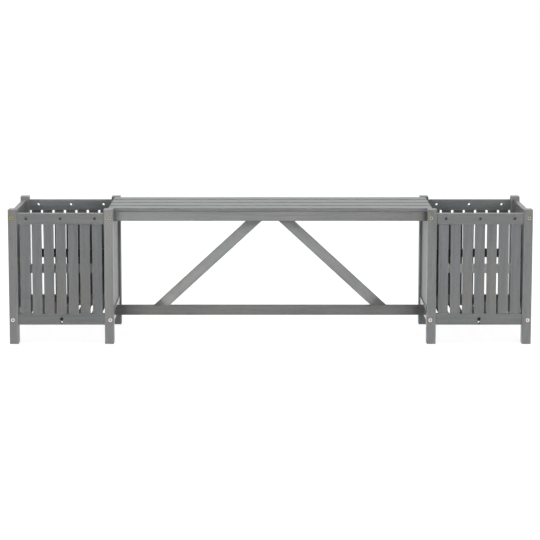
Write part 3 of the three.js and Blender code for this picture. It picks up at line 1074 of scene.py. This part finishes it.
def bolt(node, outward, yellow, tone):
    """A bolt with a flat head and a hexagon socket, its head's face at zero."""
    length = size_of(node).y
    head = size_of(node).x / 2
    rims = [
        (head - HEAD_EASE * (1 - math.cos(angle)), -HEAD_EASE * (1 - math.sin(angle)))
        for angle in (0, math.pi / 6, math.pi / 3, math.pi / 2)
    ]
    profile = [
        (SHANK_RADIUS - TIP_EASE, -length),
        (SHANK_RADIUS, TIP_EASE - length),
        (SHANK_RADIUS, -HEAD_THICKNESS),
        (head - HEAD_EASE / 2, -HEAD_THICKNESS),
        (head, HEAD_EASE / 2 - HEAD_THICKNESS),
        *rims,
        (head * HEAD_FLAT, 0),
    ]
    angles = np.arange(BOLT_SIDES) * math.tau / BOLT_SIDES
    round_ring = np.column_stack((np.cos(angles), np.sin(angles)))
    shapes = [(round_ring * radius, height) for radius, height in profile]
    shapes += [
        (hexagon(SOCKET_WIDTH + 2 * SOCKET_MOUTH, BOLT_SIDES), 0),
        (hexagon(SOCKET_WIDTH, BOLT_SIDES), -SOCKET_MOUTH),
        (hexagon(SOCKET_WIDTH, BOLT_SIDES), SOCKET_MOUTH - SOCKET_DEPTH),
        (hexagon(SOCKET_WIDTH - SOCKET_MOUTH, BOLT_SIDES), -SOCKET_DEPTH),
    ]
    rings = [np.column_stack((shape, np.full(BOLT_SIDES, height))) for shape, height in shapes]
    points, faces = skin(rings)
    turned = Board(points[:, ALONG_FIRST], faces, (length / 2, head, head))
    piece = Piece(node)
    face = middle_of(node) + outward * length / 2
    piece.add(turned, face, outward, UP, Tint(tone, warmth=yellow, drift=0.0))
    piece.finish(bolt_steel)


def planter(name, side):
    """One planter. Its outer side faces away from the bench."""
    inner_low, inner_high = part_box(f"{name}_front_inner_leg")
    outer_low, outer_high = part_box(f"{name}_front_outer_leg")
    rear_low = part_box(f"{name}_rear_outer_leg")[0]
    front_clear = max(inner_low.x - outer_high.x, outer_low.x - inner_high.x)
    side_clear = rear_low.y - outer_high.y
    outer = RIGHT * side
    for place, outward in (("front", -BACK), ("rear", BACK)):
        for end, towards_wall in (("outer", -outer), ("inner", outer)):
            corner = f"{name}_{place}_{end}"
            leg(f"{corner}_leg", f"{name}_{place}", outward, towards_wall)
            yellow = TOP_BOLT_YELLOWS.get(corner, TOP_BOLT_YELLOW)
            bolt(f"{corner}_top_bolt", outward, yellow, TOP_BOLT_TONE)
            bolt(f"{corner}_bottom_bolt", outward, BOTTOM_BOLT_YELLOW, BOTTOM_BOLT_TONE)
    for place, outward, clear, has_tenons in (
        ("front", -BACK, front_clear, True),
        ("rear", BACK, front_clear, True),
        ("outer_side", outer, side_clear, False),
        ("inner_side", -outer, side_clear, False),
    ):
        wall = f"{name}_{place}"
        for is_top in (True, False):
            rail(wall, is_top, outward, clear, has_tenons)
        slats(wall, outward)
    planter_floor(name)


# The seat and the frame under it


def seat():
    for n in range(SEAT_SLATS):
        node = f"seat_slat_{n + 1}"
        size = size_of(node)
        slat = board(size.x, size.y, size.z, SEAT_EASE, END_EASE, node)
        finish_board(node, "seat_wood", seat_wood, slat, RIGHT, UP)


def under_frame():
    """The aprons and the stretcher, the batten under the seat's middle, and the braces."""
    for node in ("front_apron", "rear_apron", "stretcher"):
        size = size_of(node)
        beam = board(size.x, size.z, size.y, BOARD_EASE, HIDDEN_END_EASE, node)
        finish_board(node, "frame_wood", frame_wood, beam, RIGHT, -BACK)
    node = "seat_cross_batten"
    size = size_of(node)
    batten = board(size.y, size.z, size.x, BOARD_EASE, HIDDEN_END_EASE, node)
    finish_board(node, "frame_wood", frame_wood, batten, BACK, RIGHT)
    brace("left_brace", -1)
    brace("right_brace", 1)


def brace(node, side):
    """A diagonal brace, cut level at its foot and head and upright at the cross batten."""
    low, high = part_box(node)
    foot = Vector((side * BRACE_FOOT_REACH, 0, low.z))
    head = Vector((0, 0, high.z + SEAM))
    along = (head - foot).normalized()
    through = -BACK
    across = through.cross(along)
    middle = (head + foot) / 2
    half_run = BRACE_WIDTH / 2 / along.z
    head_x = min(abs(low.x), abs(high.x))
    slope = (head.z - foot.z) / BRACE_FOOT_REACH
    lower_at_head = foot.z + (BRACE_FOOT_REACH - half_run - head_x) * slope
    upper_at_top = BRACE_FOOT_REACH + half_run - (high.z - foot.z) / slope
    outline = [
        (BRACE_FOOT_REACH + half_run, foot.z),
        (BRACE_FOOT_REACH - half_run, foot.z),
        (head_x, lower_at_head),
        (head_x, high.z),
        (upper_at_top, high.z),
    ]
    corners = []
    for x, z in outline:
        away = Vector((side * x, 0, z)) - middle
        corners.append((away.dot(along), away.dot(across)))
    if side < 0:
        corners.reverse()
    thickness = high.y - low.y
    dice = random.Random("brace " + node)
    radii = [HIDDEN_END_EASE] * len(corners)
    points, faces = drawn_out(corners, radii, thickness, BOARD_EASE, dice)
    half = ((head - foot).length / 2, BRACE_WIDTH / 2, thickness / 2)
    piece = Piece(node)
    piece.add(Board(points, faces, half), middle, along, through, tint_for(node))
    piece.finish(frame_wood)


# Around the object: floor, light and camera

FLOOR_SIZE = 30.0
FLOOR_BOUNCE = (0.2, 0.2, 0.2, 1.0)
FLOOR_SHADED = (0.3, 0.3, 0.3, 1.0)
FLOOR_GLOW = 0.88
WHITE = (1.0, 1.0, 1.0, 1.0)

# Strengths of the light, and where its soft boxes end: in a direction's height, and in how
# squarely it faces the bench's front or back
WORLD_AROUND = 0.06
WORLD_BOXES = 5.0
WORLD_ABOVE = 4.4
BOXES_TOP = (0.42, 0.34)
BOXES_INNER = (0.99, 0.955)
BOXES_OUTER = (0.25, 0.50)
ABOVE_EDGE = (0.90, 0.95)

LENS = 118.85
SENSOR = 36.0
CAMERA_AT = (-0.017, -5.183, 1.136)
CAMERA_TILT = math.radians(6.886)
CAMERA_SHIFT = (0.0104, -0.2)


def seen_directly(shader):
    """One for the camera's own view and for what gloss shows of it, and zero otherwise."""
    path = shader.add("LightPath").outputs
    in_gloss = shader.math("MAXIMUM", path["Is Glossy Ray"], path["Is Transmission Ray"])
    return shader.math("MAXIMUM", path["Is Camera Ray"], in_gloss), in_gloss


def floor():
    """A white floor that shows the bench's soft shadow."""
    reach = FLOOR_SIZE / 2
    mesh = bpy.data.meshes.new("ground")
    mesh.from_pydata(
        [(-reach, -reach, 0), (reach, -reach, 0), (reach, reach, 0), (-reach, reach, 0)],
        [],
        [(0, 1, 2, 3)],
    )
    ground = bpy.data.objects.new("ground", mesh)
    bpy.context.scene.collection.objects.link(ground)
    material = bpy.data.materials.new("white_floor")
    shader = Shader(material)
    seen, in_gloss = seen_directly(shader)
    bounce = shader.add("BsdfDiffuse", {"Color": FLOOR_BOUNCE}).outputs[0]
    shaded = shader.add("BsdfDiffuse", {"Color": FLOOR_SHADED}).outputs[0]
    glow = shader.add("Emission", {"Color": WHITE, "Strength": FLOOR_GLOW}).outputs[0]
    shadowed = shader.add("AddShader", {0: glow, 1: shaded}).outputs[0]
    plain = shader.add("Emission", {"Color": WHITE, "Strength": 1.0}).outputs[0]
    white = shader.add("MixShader", {0: in_gloss, 1: shadowed, 2: plain}).outputs[0]
    surface = shader.add("MixShader", {0: seen, 1: bounce, 2: white})
    shader.add("OutputMaterial", {"Surface": surface.outputs[0]})
    mesh.materials.append(material)


def world():
    """Studio light: wide soft boxes off the four corners, and a lamp straight above."""
    made = bpy.data.worlds.new("studio")
    bpy.context.scene.world = made
    shader = Shader(made)
    side, depth, height = shader.split(shader.add("TexCoord").outputs["Generated"])
    flat = shader.length(shader.joined(side, depth, 0.0))
    facing = shader.math("DIVIDE", shader.math("ABSOLUTE", depth), flat)
    boxes = shader.times(
        shader.ranged(facing, *BOXES_INNER, smooth=True),
        shader.ranged(facing, *BOXES_OUTER, smooth=True),
    )
    low = shader.ranged(height, *BOXES_TOP, 0.0, WORLD_BOXES - WORLD_AROUND, smooth=True)
    above = shader.ranged(height, *ABOVE_EDGE, 0.0, WORLD_ABOVE - WORLD_AROUND, smooth=True)
    level = shader.plus(shader.times(boxes, low), above, WORLD_AROUND)
    light = shader.add("Background", {"Strength": level}).outputs[0]
    white = shader.add("Background", {"Color": WHITE, "Strength": 1.0}).outputs[0]
    shown = shader.add("MixShader", {0: seen_directly(shader)[0], 1: light, 2: white})
    shader.add("OutputWorld", {"Surface": shown.outputs[0]})


def camera():
    data = bpy.data.cameras.new("camera")
    data.lens = LENS
    data.sensor_width = SENSOR
    data.shift_x, data.shift_y = CAMERA_SHIFT
    made = bpy.data.objects.new("camera", data)
    made.location = CAMERA_AT
    made.rotation_euler = (math.pi / 2 - CAMERA_TILT, 0, 0)
    bpy.context.scene.collection.objects.link(made)
    bpy.context.scene.camera = made


camera()
world()
floor()
planter("left", -1)
planter("right", 1)
seat()
under_frame()
bpy.context.scene.view_settings.view_transform = "Standard"
